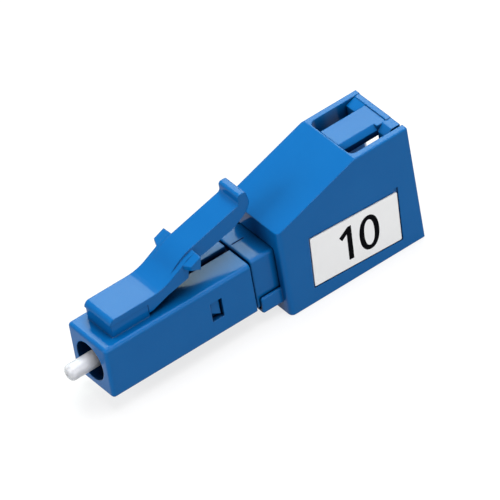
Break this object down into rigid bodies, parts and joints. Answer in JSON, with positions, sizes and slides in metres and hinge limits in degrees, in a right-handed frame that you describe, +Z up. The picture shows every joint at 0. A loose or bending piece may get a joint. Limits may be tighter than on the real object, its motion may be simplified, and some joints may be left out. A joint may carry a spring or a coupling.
{
  "type": "optical fibre attenuator",
  "caption": "Inline fibre attenuator: a square latched plug with a ceramic ferrule in front, and a wedge-shaped rear shell with a matching socket behind.",
  "frame": {"origin": "on the ferrule's axis, in the plane of the plug housing's front face", "axes": "+Y along the ferrule from the plug towards the socket's mouth, +Z up towards the latch, +X towards the side with the label"},
  "size_m": [0.006, 0.0285, 0.011],
  "materials": {
    "blue_plastic": "satin",
    "white_ceramic": "polished",
    "fibre_glass": "clear",
    "collar_metal": "machined",
    "spring_steel": "drawn wire",
    "label_paper": "matte"
  },
  "bodies": {
    "housing": {"plug_housing": "blue_plastic", "inner_body": "blue_plastic", "rear_housing": "blue_plastic", "latch_roof": "blue_plastic", "label_plate": "label_paper", "coil_spring": "spring_steel", "split_sleeve": "white_ceramic", "sleeve_holder": "blue_plastic"},
    "latch": {"latch_lever": "blue_plastic"},
    "ferrule": {"ferrule": "white_ceramic", "attenuating_fibre": "fibre_glass", "ferrule_flange": "collar_metal"}
  },
  "joints": [
    {"name": "latch_flex", "type": "hinge", "parent": "housing", "child": "latch", "pos_m": [0, 0.00476, 0.00315], "axis": [-1, 0, 0], "range_deg": [0, 14], "stiffness_Nm_per_rad": 0.15},
    {"name": "ferrule_float", "type": "slide", "parent": "housing", "child": "ferrule", "axis": [0, 1, 0], "range_m": [0, 0.0008], "stiffness_N_per_m": 2000, "deforming": ["coil_spring"]}
  ]
}
